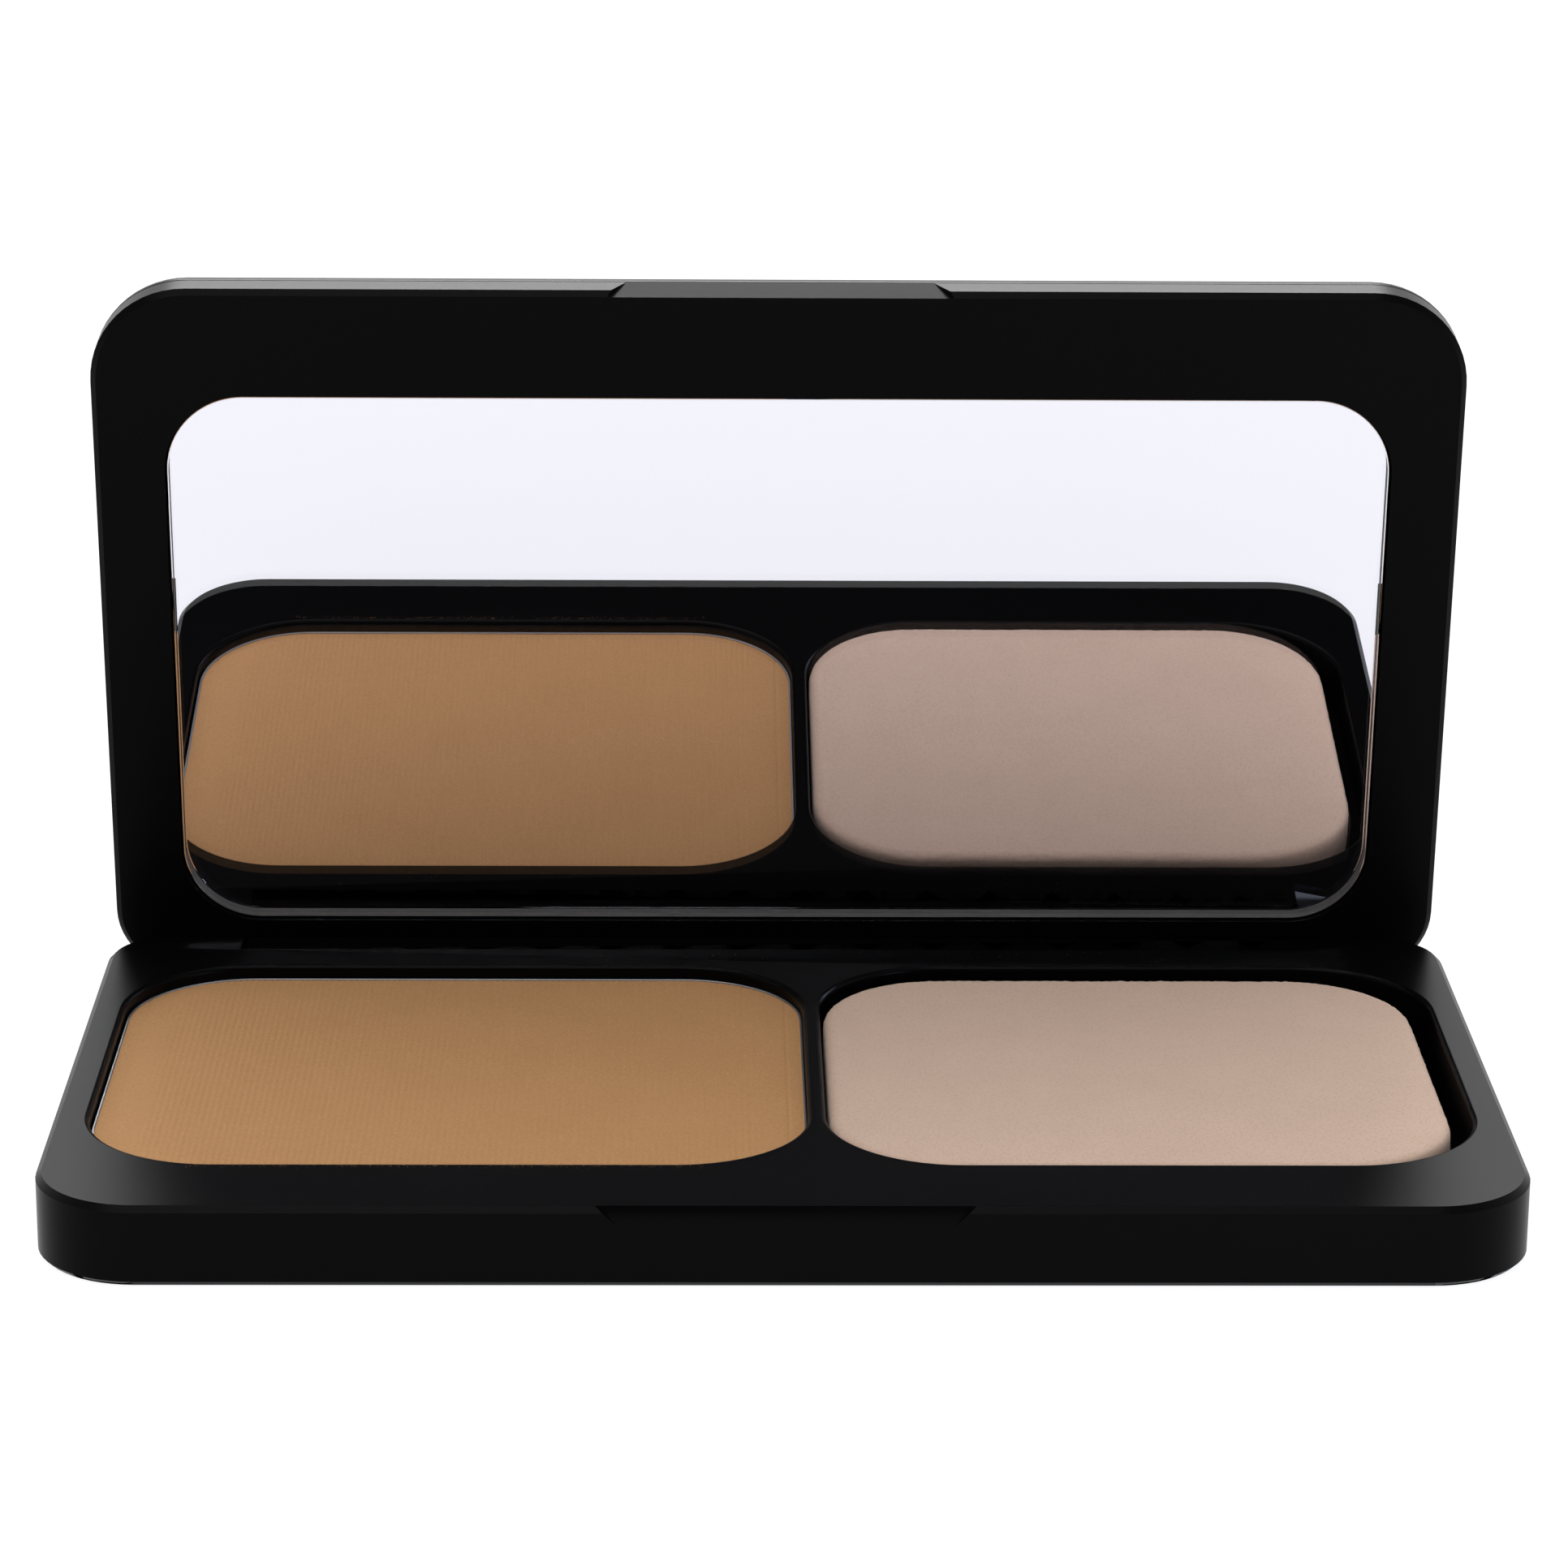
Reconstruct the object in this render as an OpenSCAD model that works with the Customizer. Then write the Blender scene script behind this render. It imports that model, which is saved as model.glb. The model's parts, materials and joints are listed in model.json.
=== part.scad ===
// Slim powder compact: a base with a powder well and a sponge well, and a mirror lid on two short pins.
// Frame: +X right, +Y towards the hinge, +Z up. The origin is the middle of the base's flat underside.
// Everything is drawn where it is with the lid standing open at open_angle.

/* [Case] */
// Overall width, left to right
case_w = 110; // [108:1:116]
// Overall depth, front to back
case_d = 60; // [59:0.5:63]
// Height of the base, up to the parting plane
base_h = 6.2; // [6:0.1:7]
// Thickness of the closed lid
lid_h = 5; // [4.8:0.1:6]
// Radius of the case's two front corners, seen from above
front_r = 7.8; // [7:0.1:9]
// Radius of the two corners at the hinge
back_r = 5.6; // [5:0.1:7]
// Rounding of the lid's outer edge
lid_edge_r = 2; // [1.2:0.1:2]
// Small bevel along both rims
rim_bevel = 0.45; // [0.3:0.05:0.6]
// Thickness of the moulded walls
wall = 1.2; // [1:0.05:1.4]
// Thickness of the base's deck
deck_t = 1; // [0.8:0.1:1.2]

/* [Wells] */
// Depth of both wells, front to back
well_d = 43.3; // [41:0.1:43.5]
// Distance from the case's front to the wells
well_front = 8.7; // [8.5:0.1:10]
// Corner radius of both wells
well_r = 10; // [8:0.5:11]
// Width of the side rims
side_rim = 2.7; // [2.5:0.1:4]
// Right end of the powder well
bridge_left = 1.95; // [1:0.05:2]
// Left end of the sponge well
bridge_right = 3.3; // [3.3:0.05:4]

/* [Lid] */
// How far the lid stands open, in degrees
open_angle = 83.5; // [0:0.5:105]
// Gap between the two rims when closed
parting_gap = 0.1; // [0.1:0.05:0.3]
// Width of the mirror
mirror_w = 98.4; // [94:0.1:99]
// Height of the mirror
mirror_d = 45.9; // [42:0.1:46]
// Distance from the lid's front edge to the mirror
mirror_front = 9.05; // [9:0.05:10]
// Corner radius of the mirror
mirror_r = 6.3; // [5:0.1:8]
// Thickness of the mirror's glass
mirror_t = 1.4; // [1.2:0.1:1.4]
// How far the glass lies below the lid's face
mirror_recess = 0.35; // [0.2:0.05:0.4]

/* [Hinge] */
// Distance from the case's back face to the hinge axis
axis_in = 1.6; // [1.5:0.05:1.8]
// Distance from the parting plane down to the hinge axis
axis_down = 2.6; // [2.3:0.05:2.7]
// Length of the lid's barrel
barrel_l = 88.2; // [80:0.2:90]
// Gap between the barrel's ends and the base
barrel_gap = 0.2; // [0.15:0.05:0.4]
// Diameter of the two pins
pin_d = 1.2; // [1:0.1:1.2]
// Length of each pin
pin_l = 8; // [6:0.5:9]
// Radial running clearance of the pins in the barrel
pin_clearance = 0.03; // [0.02:0.01:0.05]

/* [Finger notch] */
// Width of the notch at the parting plane
notch_w = 27.5; // [20:0.5:32]
// How far each slanted end runs in
notch_slant = 1.5; // [1:0.1:2]
// Depth of the notch into the front face, at the parting plane
notch_deep = 0.45; // [0.3:0.05:0.6]
// Height of the notch on the base
notch_base_h = 1.4; // [1:0.1:2]

/* [Hidden] */
$fn = 64;
over = 1; // how far a cutter runs past the face that it opens

// heights in the base
cover_t = 0.8;
base_bevel = 0.4;
well_floor = 1.6;
deck_under = base_h - deck_t;
// plan of the wells
well_y0 = -case_d / 2 + well_front;
well_y1 = well_y0 + well_d;
well_x = case_w / 2 - side_rim;
well_wall = 0.8;
// powder pan and cake
pan_x0 = -52.15;
pan_x1 = bridge_left - 0.05;
pan_gap = 0.15;
pan_wall = 0.2;
pan_top = base_h - 1.02;
powder_top = base_h - 1.1;
adhesive_t = 0.15;
pan_bottom = well_floor + adhesive_t;
adhesive_size = [40, 28];
// sponge
sponge_x0 = bridge_right + 0.2;
sponge_x1 = 50.7;
sponge_gap = 0.1;
sponge_back_gap = 1.8;
sponge_top = base_h - 0.2;
sponge_bevel = 0.5;
// closure
magnet = [10, 4, 2];
magnet_rim = 1;
keeper = [12, 5, 0.8];
closure_x = 30;
closure_y = -25.5;
// hinge
axis_y = case_d / 2 - axis_in;
axis_z = base_h - axis_down;
hinge_clear = 0.6;
block_y = axis_y - axis_in - hinge_clear - 0.7;
block_bevel = 1;
pin_seat = 4;
// lid, drawn closed and then turned open
lid_z = base_h + parting_gap;
seam_z = lid_z + 2.5;
lid_top = lid_z + lid_h;
cover_wall = 1.4;
cover_top_t = 1.1;
frame_face_t = 1;
mirror_gap = 0.15;
tape_t = 0.15;
mirror_z = lid_z + mirror_recess;
mirror_y = -case_d / 2 + mirror_front + mirror_d / 2;
mirror_bevel = 0.2;
tape_inset = 2.2;
// label
label_r = 9;
label_t = 0.1;
label_x = -28;
label_recess = 0.15;

// a rounded rectangle between two corners
module plan(x0, y0, x1, y1, r) {
    translate([x0 + r, y0]) square([x1 - x0 - 2 * r, y1 - y0]);
    translate([x0, y0 + r]) square([x1 - x0, y1 - y0 - 2 * r]);
    for (x = [x0 + r, x1 - r], y = [y0 + r, y1 - r]) translate([x, y]) circle(r);
}

// the case's plan, moved in by inset all round
module case_plan(inset) {
    half = case_w / 2 - inset;
    front = front_r - inset;
    back = back_r - inset;
    plan(-half, -case_d / 2 + inset, half, case_d / 2 - inset - back, front);
    plan(-half, -case_d / 2 + inset + front, half, case_d / 2 - inset, back);
}

// a rounded slab whose edge follows steps, a list of [how far in, height] from the bottom to the top;
// front is the radius of its two front corners and back, which is no larger, that of the other two
module edge_slab(w, d, front, back, steps) {
    cx = w / 2 - back;
    cy = d / 2 - back;
    fx = w / 2 - front;
    fy = d / 2 - front;
    bottom = steps[0][1];
    top = steps[len(steps) - 1][1];
    edge = concat([[0, bottom]], [for (s = steps) [back - s[0], s[1]]], [[0, top]]);
    front_edge = concat([[0, bottom]], [for (s = steps) [front - s[0], s[1]]], [[0, top]]);
    translate([-cx, -fy, bottom]) cube([2 * cx, fy + cy, top - bottom]);
    for (side = [0, 1]) mirror([side, 0, 0]) {
        translate([cx, (cy - fy) / 2, 0]) rotate([90, 0, 0])
            linear_extrude(fy + cy, center = true) polygon(edge);
        translate([cx, cy, 0]) rotate_extrude(angle = 90) polygon(edge);
        translate([fx, -fy, 0]) rotate([0, 0, -90]) rotate_extrude(angle = 90) polygon(front_edge);
    }
    translate([0, cy, 0]) rotate([90, 0, 90]) linear_extrude(2 * cx, center = true) polygon(edge);
    mirror([0, 1, 0]) translate([0, fy, 0]) rotate([90, 0, 90])
        linear_extrude(2 * fx, center = true) polygon(front_edge);
}

// turns a lid part, drawn closed, to where it stands open
module opened() {
    translate([0, axis_y, axis_z]) rotate([-open_angle, 0, 0]) translate([0, -axis_y, -axis_z]) children();
}

// the finger notch: a shallow trapezoid in the front face, widest and deepest at the parting plane, whose
// bottom slopes out to the face at z_narrow
module notch(z_wide, z_narrow) {
    half = notch_w / 2;
    rise = z_wide - z_narrow;
    past = rise + (rise > 0 ? over : -over);
    translate([0, -case_d / 2, z_narrow]) rotate([90 - atan(notch_deep / rise), 0, 0]) linear_extrude(2 * over)
        polygon([
            [-half, past], [-half, rise], [-half + notch_slant, 0], [half - notch_slant, 0], [half, rise],
            [half, past]
        ]);
}

// runs a profile drawn in Y and Z along X
module along_x(length) {
    rotate([90, 0, 90]) linear_extrude(length, center = true) children();
}

// the room in the base for the lid's barrel, open to the top and the back
module hinge_room() {
    r = axis_in + hinge_clear;
    along_x(barrel_l + 2 * barrel_gap) {
        translate([axis_y, axis_z]) circle(r);
        translate([axis_y - r, axis_z]) square([r + axis_in + over, base_h - axis_z + over]);
        translate([axis_y, axis_z - r]) square([axis_in + over, r]);
    }
}

// a hinge pin's place: side is -1 on the left and 1 on the right, from is its inner end
module pin_place(side, from) {
    translate([side * from, axis_y, axis_z]) rotate([0, side * 90, 0]) children();
}

module base_shell() {
    half = case_d / 2;
    color("#17181b") difference() {
        edge_slab(case_w, case_d, front_r, back_r,
            [[base_bevel, 0], [0, base_bevel], [0, base_h - rim_bevel], [rim_bevel, base_h]]);
        // rebate for the bottom cover
        translate([0, 0, -over]) linear_extrude(cover_t + over) case_plan(wall);
        // hollow under the front and the back of the deck, left open round the wells, magnets and hinge
        difference() {
            translate([0, 0, cover_t / 2]) linear_extrude(deck_under - cover_t / 2) case_plan(wall);
            linear_extrude(base_h)
                plan(-well_x - 2 * well_wall, well_y0 - well_wall, well_x + 2 * well_wall,
                    well_y1 + well_wall, well_r + well_wall);
            translate([-case_w / 2, block_y, 0]) cube([case_w, half, base_h]);
            for (x = [-closure_x, closure_x])
                translate([x - magnet[0] / 2 - magnet_rim, -half, deck_under - magnet[2] - 0.6])
                    cube([magnet[0] + 2 * magnet_rim, half, base_h]);
        }
        // magnet pockets
        for (x = [-closure_x, closure_x])
            translate([x - magnet[0] / 2, closure_y - magnet[1] / 2, cover_t / 2])
                cube([magnet[0], magnet[1], deck_under - cover_t / 2]);
        // wells
        translate([0, 0, well_floor]) linear_extrude(base_h) {
            plan(-well_x, well_y0, bridge_left, well_y1, well_r);
            plan(bridge_right, well_y0, well_x, well_y1, well_r);
        }
        hinge_room();
        // bevel that lets the lid's face turn past the end blocks
        along_x(case_w + 2 * over)
            polygon([[half - block_bevel, base_h], [half - block_bevel, base_h + over],
                [half + over, base_h + over], [half + over, base_h - block_bevel], [half, base_h - block_bevel]]);
        notch(base_h, base_h - notch_base_h);
        for (side = [-1, 1]) pin_place(side, barrel_l / 2 - over) cylinder(h = pin_seat + barrel_gap + over, d = pin_d);
    }
}

module bottom_cover() {
    color("#141518") difference() {
        linear_extrude(cover_t) case_plan(wall + 0.05);
        translate([label_x, 0, -over]) cylinder(h = label_recess + over, r = label_r + 0.15);
    }
}

module bottom_label() {
    color("#d8d6d2") translate([label_x, 0, label_recess - label_t]) cylinder(h = label_t, r = label_r);
}

module pan_plan(inset) {
    plan(pan_x0 + inset, well_y0 + pan_gap + inset, pan_x1 - inset, well_y1 - pan_gap - inset,
        well_r - 2 * pan_gap - inset);
}

module powder_pan() {
    color("#c9c9c6") difference() {
        translate([0, 0, pan_bottom]) linear_extrude(pan_top - pan_bottom) pan_plan(0);
        translate([0, 0, pan_bottom + pan_wall]) linear_extrude(base_h) pan_plan(pan_wall);
    }
}

module pressed_powder() {
    color("#c19b6e") translate([0, 0, pan_bottom + pan_wall])
        linear_extrude(powder_top - pan_bottom - pan_wall) pan_plan(pan_wall);
}

module pan_adhesive() {
    color("#e6e2d6") translate([(pan_x0 + pan_x1) / 2, (well_y0 + well_y1) / 2, well_floor])
        translate(-adhesive_size / 2) cube([adhesive_size[0], adhesive_size[1], adhesive_t]);
}

module sponge() {
    y0 = well_y0 + sponge_gap;
    y1 = well_y1 - sponge_back_gap;
    color("#d5bcae") translate([(sponge_x0 + sponge_x1) / 2, (y0 + y1) / 2, 0])
        edge_slab(sponge_x1 - sponge_x0, y1 - y0, well_r - 0.1, well_r - 0.1,
            [[sponge_bevel, well_floor], [0, well_floor + sponge_bevel],
            [0, sponge_top - sponge_bevel], [sponge_bevel, sponge_top]]);
}

module base_magnet(side) {
    color("#9a9c9f") translate([side * closure_x - magnet[0] / 2, closure_y - magnet[1] / 2, deck_under - magnet[2]])
        cube(magnet);
}

module hinge_pin(side) {
    color("#b9bbbd") pin_place(side, barrel_l / 2 + barrel_gap - (pin_l - pin_seat)) cylinder(h = pin_l, d = pin_d);
}

// profile of the lid's leaf: the round barrel, carried up to the lid's face
module leaf() {
    translate([axis_y, axis_z]) circle(axis_in);
    translate([axis_y - axis_in, axis_z]) square([2 * axis_in, lid_z + frame_face_t - axis_z]);
}

module lid_frame() {
    half = case_d / 2;
    pocket = [mirror_w / 2 + mirror_gap, mirror_d / 2 + mirror_gap];
    rib = 1;
    color("#131417") opened() difference() {
        union() {
            edge_slab(case_w, case_d, front_r, back_r, [[rim_bevel, lid_z], [0, lid_z + rim_bevel], [0, seam_z]]);
            along_x(barrel_l) leaf();
        }
        // mirror recess
        translate([0, mirror_y, lid_z - over]) linear_extrude(mirror_recess + mirror_t + tape_t + over)
            plan(-pocket[0], -pocket[1], pocket[0], pocket[1], mirror_r + mirror_gap);
        // hollow behind the front and side bezel
        translate([0, 0, lid_z + frame_face_t]) linear_extrude(lid_h) difference() {
            case_plan(wall);
            translate([0, mirror_y])
                plan(-pocket[0] - rib, -pocket[1] - rib, pocket[0] + rib, pocket[1] + rib, mirror_r + mirror_gap + rib);
            translate([-case_w / 2, block_y]) square([case_w, half]);
        }
        notch(lid_z, seam_z);
        for (side = [-1, 1]) pin_place(side, barrel_l / 2 - pin_seat - 0.1)
            cylinder(h = pin_seat + over, d = pin_d + 2 * pin_clearance);
    }
}

module lid_cover() {
    shoulder = lid_top - lid_edge_r;
    round_steps = [for (a = [0:15:90]) [lid_edge_r * (1 - cos(a)), shoulder + lid_edge_r * sin(a)]];
    color("#17181b") opened() difference() {
        edge_slab(case_w, case_d, front_r, back_r, concat([[0, seam_z]], round_steps));
        translate([0, 0, seam_z - over]) linear_extrude(lid_h - (seam_z - lid_z) - cover_top_t + over)
            case_plan(cover_wall);
    }
}

module mirror_glass() {
    back = mirror_z + mirror_t;
    color("#e9ebf2") opened() translate([0, mirror_y, 0]) edge_slab(mirror_w, mirror_d, mirror_r, mirror_r,
        [[mirror_bevel, mirror_z], [0, mirror_z + mirror_bevel], [0, back]]);
}

module mirror_tape() {
    x = mirror_w / 2 - tape_inset;
    y = mirror_d / 2 - tape_inset;
    color("#f0efe9") opened() translate([0, mirror_y, mirror_z + mirror_t]) linear_extrude(tape_t)
        plan(-x, -y, x, y, mirror_r - tape_inset);
}

module lid_keeper(side) {
    color("#9a9c9f") opened()
        translate([side * closure_x - keeper[0] / 2, closure_y - keeper[1] / 2, lid_z + frame_face_t]) cube(keeper);
}

base_shell();
bottom_cover();
bottom_label();
powder_pan();
pressed_powder();
pan_adhesive();
sponge();
base_magnet(-1);  // base_magnet_left
base_magnet(1);  // base_magnet_right
hinge_pin(-1);  // hinge_pin_left
hinge_pin(1);  // hinge_pin_right
lid_cover();
lid_frame();
mirror_glass();
mirror_tape();
lid_keeper(-1);  // lid_keeper_left
lid_keeper(1);  // lid_keeper_right
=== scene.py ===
import json
import math
import random

import bmesh
import bpy
from mathutils import Matrix, Vector, noise


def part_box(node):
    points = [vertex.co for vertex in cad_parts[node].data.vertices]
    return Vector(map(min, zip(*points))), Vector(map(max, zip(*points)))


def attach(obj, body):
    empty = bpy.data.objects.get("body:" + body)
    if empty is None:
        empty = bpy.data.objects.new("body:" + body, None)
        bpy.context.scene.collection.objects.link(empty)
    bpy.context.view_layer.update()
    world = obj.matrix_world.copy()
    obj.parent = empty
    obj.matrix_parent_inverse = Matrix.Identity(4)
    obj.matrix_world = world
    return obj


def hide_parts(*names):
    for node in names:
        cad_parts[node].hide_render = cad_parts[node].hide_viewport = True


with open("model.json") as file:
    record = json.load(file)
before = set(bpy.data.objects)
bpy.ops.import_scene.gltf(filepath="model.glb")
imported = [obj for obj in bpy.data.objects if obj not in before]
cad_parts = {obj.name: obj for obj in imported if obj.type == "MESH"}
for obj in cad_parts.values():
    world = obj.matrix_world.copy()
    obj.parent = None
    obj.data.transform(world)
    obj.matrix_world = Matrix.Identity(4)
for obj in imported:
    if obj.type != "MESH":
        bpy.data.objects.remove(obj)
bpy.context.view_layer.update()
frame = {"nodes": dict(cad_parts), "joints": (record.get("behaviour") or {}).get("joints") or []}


# ---- Base shell -------------------------------------------------------------------------------------------
# The case's lower half: one injection moulding in black ABS with the deck, both wells and the two hinge
# blocks, sprayed with a soft-touch lacquer that leaves every edge slightly rounded.
MM = 0.001
shell_edge = 0.13 * MM
well_lip = 0.4 * MM
deck = 6.2 * MM


def new_material(name):
    """A material with its Principled shader, and a short way to add and join nodes."""
    material = bpy.data.materials.new(name)
    material.use_nodes = True
    tree = material.node_tree
    shader = tree.nodes["Principled BSDF"]

    def node(kind, links=(), **values):
        made = tree.nodes.new(kind)
        for key, value in values.items():
            if hasattr(made, key):
                setattr(made, key, value)
            else:
                made.inputs[key.replace("_", " ")].default_value = value
        for socket, source in dict(links).items():
            tree.links.new(source, made.inputs[socket])
        return made

    return material, tree, shader, node


def object_position(node):
    return node("ShaderNodeTexCoord").outputs["Object"]


def two_tone(node, pattern, dark, light):
    """A colour that a pattern shifts between dark and light."""
    mix = node("ShaderNodeMixRGB", {"Fac": pattern.outputs["Fac"]})
    mix.inputs["Color1"].default_value = (*dark, 1)
    mix.inputs["Color2"].default_value = (*light, 1)
    return mix.outputs["Color"]


def ramp(node, value, least, most, start=0.0, end=1.0):
    """A value stretched so that start to end becomes least to most."""
    made = node("ShaderNodeMapRange", {"Value": value})
    made.inputs["From Min"].default_value = start
    made.inputs["From Max"].default_value = end
    made.inputs["To Min"].default_value = least
    made.inputs["To Max"].default_value = most
    return made.outputs["Result"]


def grain_bump(tree, shader, node, place, size, height, detail=3.0):
    """A fine surface grain: size is the width of a grain and height how far it stands, both in metres."""
    grain = node("ShaderNodeTexNoise", {"Vector": place}, Scale=1 / size, Detail=detail, Roughness=0.6)
    bump = node("ShaderNodeBump", {"Height": grain.outputs["Fac"]}, Strength=1.0, Distance=height)
    tree.links.new(bump.outputs["Normal"], shader.inputs["Normal"])


def soft_touch(name, tone, gloss):
    """Matte lacquer over black plastic: nearly black, a faint cool cast, a soft sheen at low angles."""
    material, tree, shader, node = new_material(name)
    place = object_position(node)
    cloud = node("ShaderNodeTexNoise", {"Vector": place}, Scale=90.0, Detail=4.0)
    deep = (tone * 0.85, tone * 0.85, tone)
    pale = (tone * 1.15, tone * 1.18, tone * 1.35)
    tree.links.new(two_tone(node, cloud, deep, pale), shader.inputs["Base Color"])
    rough = ramp(node, cloud.outputs["Fac"], gloss - 0.03, gloss + 0.03)
    tree.links.new(rough, shader.inputs["Roughness"])
    shader.inputs["IOR"].default_value = 1.12
    grain_bump(tree, shader, node, place, 0.11 * MM, 0.0022 * MM)
    return material


def round_edges(bm, edges, offset, segments):
    """Rounds some edges of a bmesh."""
    bmesh.ops.bevel(
        bm, geom=edges, offset=offset, affect="EDGES", segments=segments, profile=0.5, material=-1
    )


def moulded_copy(node, name, edge, segments=3, sharp=25, lips=None, lip_round=0.0):
    """A copy of a CAD piece with its flat faces joined up and every sharp edge rounded; the edges that
    lips picks out get a wider rounding of their own."""
    bm = bmesh.new()
    bm.from_mesh(frame["nodes"][node].data)
    bmesh.ops.remove_doubles(bm, verts=bm.verts, dist=0.002 * MM)
    bmesh.ops.dissolve_limit(bm, angle_limit=math.radians(0.6), verts=bm.verts, edges=bm.edges)
    if lips:
        wide = [e for e in bm.edges if e.calc_face_angle(0) > math.radians(60) and lips(e)]
        round_edges(bm, wide, lip_round, 4)
    for face in bm.faces:
        face.smooth = True
    piece = object_from(bm, name)
    rounding = piece.modifiers.new("rounded_edges", "BEVEL")
    rounding.width = edge
    rounding.segments = segments
    rounding.limit_method = "ANGLE"
    rounding.angle_limit = math.radians(sharp)
    rounding.miter_outer = "MITER_ARC"
    flats = piece.modifiers.new("flat_faces_stay_flat", "WEIGHTED_NORMAL")
    flats.weight = 100
    flats.keep_sharp = False
    return piece


def object_from(bm, name):
    mesh = bpy.data.meshes.new(name)
    bm.to_mesh(mesh)
    bm.free()
    piece = bpy.data.objects.new(name, mesh)
    bpy.context.scene.collection.objects.link(piece)
    return piece


def fit_out(piece, material, body, slot, *nodes):
    """Gives a piece its material and the body it moves with, and hides the CAD nodes it stands for; slot is
    not used.
    """
    piece.data.materials.clear()
    piece.data.materials.append(material)
    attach(piece, body)
    if nodes:
        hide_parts(*nodes)
    return piece


def round_a_well(edge):
    """True for the top edges of the two wells: on the deck, and well inside its outline."""
    ends = [vert.co for vert in edge.verts]
    return all(abs(p.z - deck) < 1e-6 and abs(p.x) < 52.5 * MM and -22 * MM < p.y < 23 * MM for p in ends)


lacquer = soft_touch("soft_touch_black", 0.0016, 0.3)
base = moulded_copy("base_shell", "base_moulding", shell_edge, lips=round_a_well, lip_round=well_lip)
fit_out(base, lacquer, "base", "soft_touch_black", "base_shell")


# ---- Bottom cover and label -------------------------------------------------------------------------------
# A flat plate in fine-textured black plastic, pressed into the shell from below, with a blank round film
# label in a shallow recess.
cover_plastic = soft_touch("textured_black", 0.006, 0.55)
cover = moulded_copy("bottom_cover", "bottom_plate", 0.08 * MM)
fit_out(cover, cover_plastic, "base", "cover_black", "bottom_cover")


def repaint(name, material):
    """Gives its material to a CAD piece that keeps its own shape."""
    data = frame["nodes"][name].data
    data.materials.clear()
    data.materials.append(material)


film, tree, shader, node = new_material("label_film")
place = object_position(node)
fibres = node("ShaderNodeTexNoise", {"Vector": place}, Scale=700.0, Detail=5.0)
paper = two_tone(node, fibres, (0.62, 0.61, 0.58), (0.74, 0.73, 0.7))
tree.links.new(paper, shader.inputs["Base Color"])
shader.inputs["Roughness"].default_value = 0.35
repaint("bottom_label", film)


# ---- Magnets, keeper plates and hinge pins ----------------------------------------------------------------
# Nickel-plated blocks under the front deck and behind the lid's bezel, and two drawn steel wires that the
# lid turns on. They are hidden once the case is closed up, so their CAD shapes stay.
def brushed_metal(name, colour, gloss, along):
    """Plated or drawn metal with fine lines that run along one axis."""
    material, tree, shader, node = new_material(name)
    place = object_position(node)
    squeeze = node("ShaderNodeMapping", {"Vector": place})
    squeeze.inputs["Scale"].default_value = [20.0 if axis == along else 9000.0 for axis in range(3)]
    lines = node("ShaderNodeTexNoise", {"Vector": squeeze.outputs["Vector"]}, Scale=1.0, Detail=2.0)
    tint = two_tone(node, lines, [c * 0.86 for c in colour], colour)
    tree.links.new(tint, shader.inputs["Base Color"])
    shader.inputs["Metallic"].default_value = 1.0
    shader.inputs["Roughness"].default_value = gloss
    bump = node("ShaderNodeBump", {"Height": lines.outputs["Fac"]}, Strength=1.0, Distance=0.001 * MM)
    tree.links.new(bump.outputs["Normal"], shader.inputs["Normal"])
    return material


nickel = brushed_metal("nickel_plate", (0.66, 0.64, 0.6), 0.3, 0)
wire = brushed_metal("drawn_wire", (0.62, 0.62, 0.63), 0.25, 0)
for side in ("left", "right"):
    repaint("base_magnet_" + side, nickel)
    repaint("lid_keeper_" + side, nickel)
    repaint("hinge_pin_" + side, wire)


# ---- Glue pad and mirror tape -----------------------------------------------------------------------------
# Pale glue under the pan and white double-sided tape behind the mirror, both out of sight.
def pale_sheet(name, colour):
    """A matt pale layer with a faint mottle."""
    material, tree, shader, node = new_material(name)
    place = object_position(node)
    mottle = node("ShaderNodeTexNoise", {"Vector": place}, Scale=500.0, Detail=4.0)
    tint = two_tone(node, mottle, [c * 0.88 for c in colour], colour)
    tree.links.new(tint, shader.inputs["Base Color"])
    shader.inputs["Roughness"].default_value = 0.6
    return material


repaint("pan_adhesive", pale_sheet("glue_pad", (0.8, 0.76, 0.66)))
repaint("mirror_tape", pale_sheet("white_tape", (0.85, 0.85, 0.82)))


# ---- Powder pan -------------------------------------------------------------------------------------------
# A godet drawn from thin aluminium sheet. Its cut rim stands just above the cake and catches the light.
pan_metal = brushed_metal("pan_aluminium", (0.38, 0.39, 0.41), 0.45, 2)
pan = moulded_copy("powder_pan", "pan", 0.07 * MM, 2)
fit_out(pan, pan_metal, "base", "pan_metal", "powder_pan")


# ---- Pressed powder ---------------------------------------------------------------------------------------
# The cake, pressed in the pan with a ribbed cloth: fine straight ribs run front to back, fade out towards
# the two sides, and a shallow line is pressed in near each side.
rib_pitch = 0.5 * MM
rib_height = 0.056 * MM
rib_steps = 6
plain_side = 2.4 * MM
side_line = 1.15 * MM
line_depth = 0.05 * MM
line_width = 0.12 * MM
trim_spare = 0.1 * MM
sink = 0.045 * MM
low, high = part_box("pressed_powder")
cake_w, cake_d, cake_h = high - low
cake_mid = (low + high) / 2
cake_r = 9.5 * MM


def rounded_block(size, middle, radius, segments):
    """A block with its four upright edges rounded."""
    bm = bmesh.new()
    bmesh.ops.create_cube(bm, size=1)
    bmesh.ops.scale(bm, verts=bm.verts, vec=size)
    bmesh.ops.translate(bm, verts=bm.verts, vec=middle)
    upright = [e for e in bm.edges if abs(e.verts[0].co.z - e.verts[1].co.z) > size[2] / 2]
    round_edges(bm, upright, radius, segments)
    return bm


def smoothstep(x):
    x = min(max(x, 0), 1)
    return x * x * (3 - 2 * x)


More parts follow.
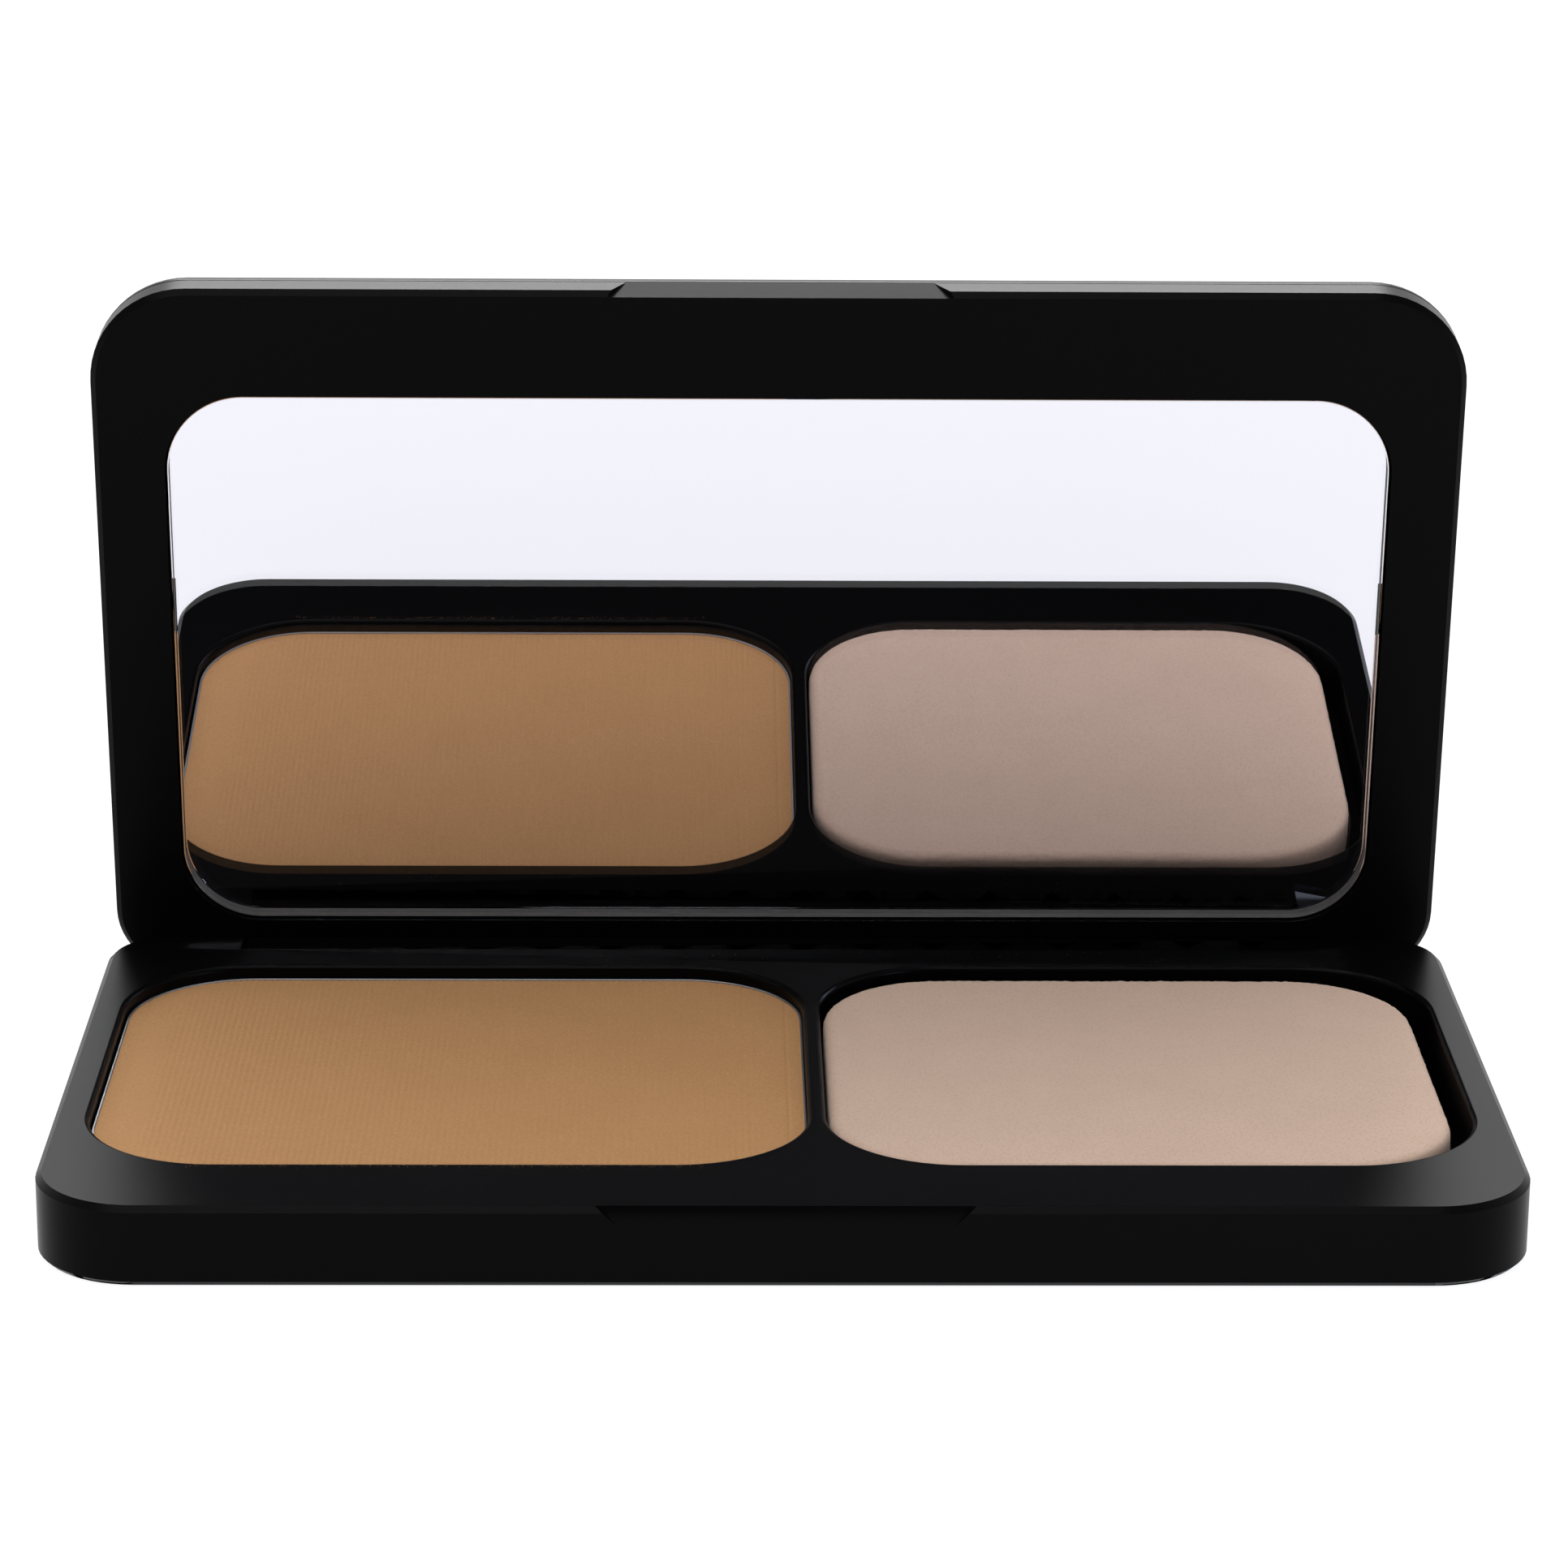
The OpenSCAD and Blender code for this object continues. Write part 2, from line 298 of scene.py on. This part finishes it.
def cake_height(x, y):
    """How far the pressed surface stands from the cake's mean top, at x, y from the cake's middle."""
    to_side = cake_w / 2 - abs(x)
    fade = smoothstep((to_side - plain_side) / plain_side)
    ribs = rib_height / 2 * math.cos(2 * math.pi * x / rib_pitch) * fade
    line = -line_depth * math.exp(-(((to_side - side_line) / line_width) ** 2))
    wave = 0.03 * MM * noise.noise(Vector((x, y, 0)) * 90)
    return ribs + line + wave


def apply_modifiers(piece):
    """Makes what a piece's modifiers do its own mesh, and drops them."""
    bpy.context.view_layer.update()
    finished = piece.evaluated_get(bpy.context.evaluated_depsgraph_get())
    mesh = bpy.data.meshes.new_from_object(finished)
    piece.modifiers.clear()
    piece.data = mesh


bm = bmesh.new()
bmesh.ops.create_grid(bm, x_segments=round(cake_w / rib_pitch * rib_steps), y_segments=26, size=0.5)
bmesh.ops.scale(bm, verts=bm.verts, vec=(cake_w + 2 * trim_spare, cake_d + 2 * trim_spare, 1))
for vert in bm.verts:
    vert.co.z = cake_height(vert.co.x, vert.co.y) - sink
walls = bmesh.ops.extrude_face_region(bm, geom=bm.faces[:])
bottom = [item for item in walls["geom"] if isinstance(item, bmesh.types.BMVert)]
for vert in bottom:
    vert.co.z = -cake_h * 1.2
bmesh.ops.translate(bm, verts=bm.verts, vec=(cake_mid.x, cake_mid.y, high.z))
bmesh.ops.recalc_face_normals(bm, faces=bm.faces)
cake = object_from(bm, "powder_cake")
tool_mid = Vector((cake_mid.x, cake_mid.y, low.z + cake_h))
tool = object_from(rounded_block((cake_w, cake_d, cake_h * 2), tool_mid, cake_r, 20), "cake_outline")
trim = cake.modifiers.new("trim", "BOOLEAN")
trim.operation = "INTERSECT"
trim.solver = "EXACT"
trim.object = tool
apply_modifiers(cake)
bpy.data.objects.remove(tool)
cake.data.shade_smooth()
cake.data.set_sharp_from_angle(angle=math.radians(50))


def dimmed(node, colour, amount):
    """A colour multiplied by an amount at each point."""
    mix = node("ShaderNodeMixRGB", {"Color1": colour, "Color2": amount}, blend_type="MULTIPLY")
    mix.inputs["Fac"].default_value = 1.0
    return mix.outputs["Color"]


powder, tree, shader, node = new_material("pressed_powder_tan")
place = object_position(node)
blotch = node("ShaderNodeTexNoise", {"Vector": place}, Scale=160.0, Detail=5.0, Roughness=0.6)
speck = node("ShaderNodeTexNoise", {"Vector": place}, Scale=5200.0, Detail=2.0)
tan = two_tone(node, blotch, (0.475, 0.252, 0.107), (0.523, 0.282, 0.124))
flecks = ramp(node, speck.outputs["Fac"], 0.9, 1.08, 0.3, 0.7)
tree.links.new(dimmed(node, tan, flecks), shader.inputs["Base Color"])
shader.inputs["Roughness"].default_value = 0.85
shader.inputs["Specular IOR Level"].default_value = 0.15
grain_bump(tree, shader, node, place, 0.12 * MM, 0.012 * MM)
fit_out(cake, powder, "base", "powder_tan", "pressed_powder")


# ---- Loose powder dust ------------------------------------------------------------------------------------
# A little powder knocked off the cake in use: tiny crumbs on the deck along the pan, thickest at its front
# edge, and a few by the hinge.
chance = random.Random(4)
crumbs = bmesh.new()


def crumb(x, y, z, across):
    """One irregular grain lying on the surface at height z."""
    made = bmesh.ops.create_icosphere(crumbs, subdivisions=1, radius=across / 2)["verts"]
    stretch = Vector((chance.uniform(0.7, 1.3), chance.uniform(0.7, 1.3), chance.uniform(0.45, 0.7)))
    bmesh.ops.scale(crumbs, verts=made, vec=stretch)
    for vert in made:
        vert.co *= chance.uniform(0.8, 1.2)
    bmesh.ops.rotate(crumbs, verts=made, matrix=Matrix.Rotation(chance.uniform(0, 6.28), 3, "Z"))
    lowest = min(vert.co.z for vert in made)
    bmesh.ops.translate(crumbs, verts=made, vec=(x, y, z - lowest - 0.004 * MM))


lip_front = -21.3 * MM
front_crumbs = 240
rear_crumbs = 50
for count in range(front_crumbs):
    crumb(chance.uniform(-44, -6) * MM, lip_front - (0.45 + abs(chance.gauss(0, 0.28))) * MM, deck,
          chance.uniform(0.025, 0.07) * MM)
for count in range(rear_crumbs):
    crumb(chance.uniform(-40, 40) * MM, chance.uniform(23.0, 25.6) * MM, deck,
          chance.uniform(0.025, 0.06) * MM)
dust = object_from(crumbs, "powder_dust")
dust.data.shade_smooth()
fit_out(dust, powder, "base", "powder_tan")


# ---- Foam sponge ------------------------------------------------------------------------------------------
# A die-cut pad of fine-celled latex foam, lying loose in its well. Its top is slightly crowned, its cut
# sides bulge a little, and its upper edge is soft and uneven where the cells are cut open.
cell = 0.3 * MM
low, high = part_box("sponge")
sponge_size = high - low
sponge_mid = (low + high) / 2
crown = 0.12 * MM
edge_round = 0.8 * MM
sponge_r = 9.8 * MM

bm = rounded_block(sponge_size, sponge_mid, sponge_r, 14)
rims = [e for e in bm.edges if abs(e.verts[0].co.z - e.verts[1].co.z) < cell / 10]
round_edges(bm, rims, edge_round, 4)
sponge = object_from(bm, "foam_sponge")
cells = sponge.modifiers.new("cells", "REMESH")
cells.mode = "VOXEL"
cells.voxel_size = cell
apply_modifiers(sponge)
bm = bmesh.new()
bm.from_mesh(sponge.data)
bm.normal_update()
for vert in bm.verts:
    from_mid = vert.co - sponge_mid
    across = max(abs(from_mid.x) / (sponge_size.x / 2), abs(from_mid.y) / (sponge_size.y / 2))
    up = max(vert.normal.z, 0)
    near_edge = smoothstep((across - 0.9) / 0.08) * up + (1 - abs(vert.normal.z)) * 0.6
    fuzz = noise.noise(vert.co / (0.45 * MM)) + 0.6 * noise.noise(vert.co / (0.22 * MM))
    lift = (0.012 + 0.05 * near_edge) * MM * fuzz
    if vert.co.z > sponge_mid.z:
        lift -= crown * across ** 3 * up
    vert.co += vert.normal * (lift - 0.05 * MM * (1 - up))
for face in bm.faces:
    face.smooth = True
bm.to_mesh(sponge.data)
bm.free()

foam, tree, shader, node = new_material("sponge_foam")
place = object_position(node)
blotch = node("ShaderNodeTexNoise", {"Vector": place}, Scale=240.0, Detail=4.0)
beige = two_tone(node, blotch, (0.57, 0.408, 0.312), (0.627, 0.453, 0.349))
# painted shade: the base colour is darkened in small dots for the shade inside the open pores
pores = node("ShaderNodeTexVoronoi", {"Vector": place}, Scale=3600.0)
painted_pore_shade = ramp(node, pores.outputs["Distance"], 0.86, 1.04, 0.05, 0.45)
tree.links.new(dimmed(node, beige, painted_pore_shade), shader.inputs["Base Color"])
shader.inputs["Roughness"].default_value = 0.9
shader.inputs["Specular IOR Level"].default_value = 0.1
shader.inputs["Sheen Weight"].default_value = 0.15
shader.inputs["Sheen Roughness"].default_value = 0.5
grain_bump(tree, shader, node, place, 0.2 * MM, 0.02 * MM)
fit_out(sponge, foam, "base", "sponge_foam", "sponge")


# ---- Lid frame and lid cover ------------------------------------------------------------------------------
# The inner lid moulding, with the wide bezel, the mirror's recess and the hinge barrel, and the outer
# cover that is welded to its back. Both have the base's soft-touch lacquer.
bezel = moulded_copy("lid_frame", "lid_bezel", shell_edge)
fit_out(bezel, lacquer, "lid", "soft_touch_black", "lid_frame")
lid_back = moulded_copy("lid_cover", "lid_back", shell_edge, 2, 12)
fit_out(lid_back, lacquer, "lid", "soft_touch_black", "lid_cover")


# ---- Mirror -----------------------------------------------------------------------------------------------
# A sheet of glass with a ground edge, silvered on its back. It is modelled closed, in the lid's own flat
# frame, and then turned open with the lid.
glass_size = Vector((98.4, 45.9, 1.36)) * MM
glass_r = 6.3 * MM
glass_bevel = 0.12 * MM
glass_mid = Vector((0, 2.0, 6.65 + 1.36 / 2)) * MM
opening = math.radians(83.5)
hinge_pos = Vector(frame["joints"][0]["pos_m"])
lid_open = (
    Matrix.Translation(hinge_pos) @ Matrix.Rotation(-opening, 4, "X") @ Matrix.Translation(-hinge_pos)
)

clear_glass, tree, shader, node = new_material("clear_glass")
shader.inputs["Base Color"].default_value = (0.985, 0.985, 1.0, 1)
shader.inputs["Roughness"].default_value = 0.0
shader.inputs["IOR"].default_value = 1.52
shader.inputs["Transmission Weight"].default_value = 1.0

ground, tree, shader, node = new_material("ground_glass_edge")
place = object_position(node)
frost = node("ShaderNodeTexNoise", {"Vector": place}, Scale=2500.0, Detail=3.0)
grey = two_tone(node, frost, (0.2, 0.188, 0.165), (0.3, 0.284, 0.255))
tree.links.new(grey, shader.inputs["Base Color"])
shader.inputs["Roughness"].default_value = 0.6

silver, tree, shader, node = new_material("silvering")
place = object_position(node)
haze = node("ShaderNodeTexNoise", {"Vector": place}, Scale=60.0, Detail=2.0)
tree.links.new(ramp(node, haze.outputs["Fac"], 0.0, 0.012), shader.inputs["Roughness"])
shader.inputs["Base Color"].default_value = (0.83, 0.825, 0.87, 1)
shader.inputs["Metallic"].default_value = 1.0

bm = rounded_block(glass_size, glass_mid, glass_r, 20)
front_z = glass_mid.z - glass_size.z / 2
rims = [e for e in bm.edges if all(abs(v.co.z - front_z) < 1e-6 for v in e.verts)]
round_edges(bm, rims, glass_bevel, 2)
bm.normal_update()
# the back is silvered (2), the sides are ground (1) and the rest is clear (0)
coats = [2 if face.normal.z > 0.9 else 1 if abs(face.normal.z) < 0.1 else 0 for face in bm.faces]
bmesh.ops.transform(bm, matrix=lid_open, verts=bm.verts)
mirror = object_from(bm, "mirror")
fit_out(mirror, clear_glass, "lid", "mirror_glass", "mirror_glass")
mirror.data.materials.append(ground)
mirror.data.materials.append(silver)
for face, coat in zip(mirror.data.polygons, coats):
    face.material_index = coat


# ---- Table, light and camera ------------------------------------------------------------------------------
# A table that glows enough to show as plain white, a studio that is dark in front and white behind, a large
# softbox overhead, a strip behind the lid that lights its top edge, and a weak cool fill from the right.
bm = bmesh.new()
bmesh.ops.create_grid(bm, x_segments=1, y_segments=1, size=4.0)
bmesh.ops.translate(bm, verts=bm.verts, vec=(0, 0, -0.02 * MM))
table = object_from(bm, "table")
white, tree, shader, node = new_material("white_table")
shader.inputs["Base Color"].default_value = (0.15, 0.15, 0.153, 1)
shader.inputs["Roughness"].default_value = 0.6
shader.inputs["Specular IOR Level"].default_value = 0.0
shader.inputs["Emission Color"].default_value = (0.985, 0.985, 1.0, 1)
shader.inputs["Emission Strength"].default_value = 0.94
table.data.materials.append(white)

scene = bpy.context.scene
scene.view_settings.view_transform = "Standard"
world = bpy.data.worlds.new("studio")
world.use_nodes = True
sky = world.node_tree.nodes
heading = sky.new("ShaderNodeTexCoord")
parts = sky.new("ShaderNodeSeparateXYZ")
toward_back = sky.new("ShaderNodeMapRange")
toward_back.interpolation_type = "SMOOTHSTEP"
toward_back.inputs["From Min"].default_value = -0.97
toward_back.inputs["From Max"].default_value = 0.9
toward_back.inputs["To Min"].default_value = 0.012
toward_back.inputs["To Max"].default_value = 1.5
world.node_tree.links.new(heading.outputs["Generated"], parts.inputs["Vector"])
world.node_tree.links.new(parts.outputs["Y"], toward_back.inputs["Value"])
world.node_tree.links.new(toward_back.outputs["Result"], sky["Background"].inputs["Strength"])
sky["Background"].inputs["Color"].default_value = (0.98, 0.98, 1.0, 1)
scene.world = world


def soft_light(name, place, aim, size, power):
    """A square softbox at place, facing aim."""
    data = bpy.data.lights.new(name, "AREA")
    data.shape = "SQUARE"
    data.size = size
    data.energy = power
    lamp = bpy.data.objects.new(name, data)
    scene.collection.objects.link(lamp)
    lamp.location = place
    lamp.rotation_euler = (Vector(aim) - Vector(place)).to_track_quat("-Z", "Y").to_euler()
    return lamp


soft_light("overhead_box", (-0.15, -0.35, 0.75), (0, -0.02, 0), 0.6, 2.5)
rim_strip = soft_light("strip_behind", (0, 0.62, 0.45), (0, 0.0, 0.03), 0.42, 3.4)
rim_strip.data.shape = "RECTANGLE"
rim_strip.data.size_y = 0.16
cool_fill = soft_light("cool_side_fill", (0.32, -0.3, 0.07), (0.03, -0.03, 0), 0.12, 0.35)
cool_fill.data.color = (0.75, 0.85, 1.0)

camera_place = Vector((-5.87, -364.85, 143.66)) * MM
camera_data = bpy.data.cameras.new("camera")
camera_data.sensor_width = 36
camera_data.lens = 114.8
camera_data.clip_start = 0.01
camera = bpy.data.objects.new("camera", camera_data)
scene.collection.objects.link(camera)
scene.camera = camera
pitch, yaw, roll = math.radians(-17.467), math.radians(0.942), math.radians(0.415)
ahead = Vector((math.sin(yaw) * math.cos(pitch), math.cos(yaw) * math.cos(pitch), math.sin(pitch)))
side = ahead.cross(Vector((0, 0, 1))).normalized()
above = side.cross(ahead)
side, above = (
    side * math.cos(roll) + above * math.sin(roll),
    above * math.cos(roll) - side * math.sin(roll),
)
turn = Matrix((side, above, -ahead)).transposed()
camera.matrix_world = Matrix.Translation(camera_place) @ turn.to_4x4()
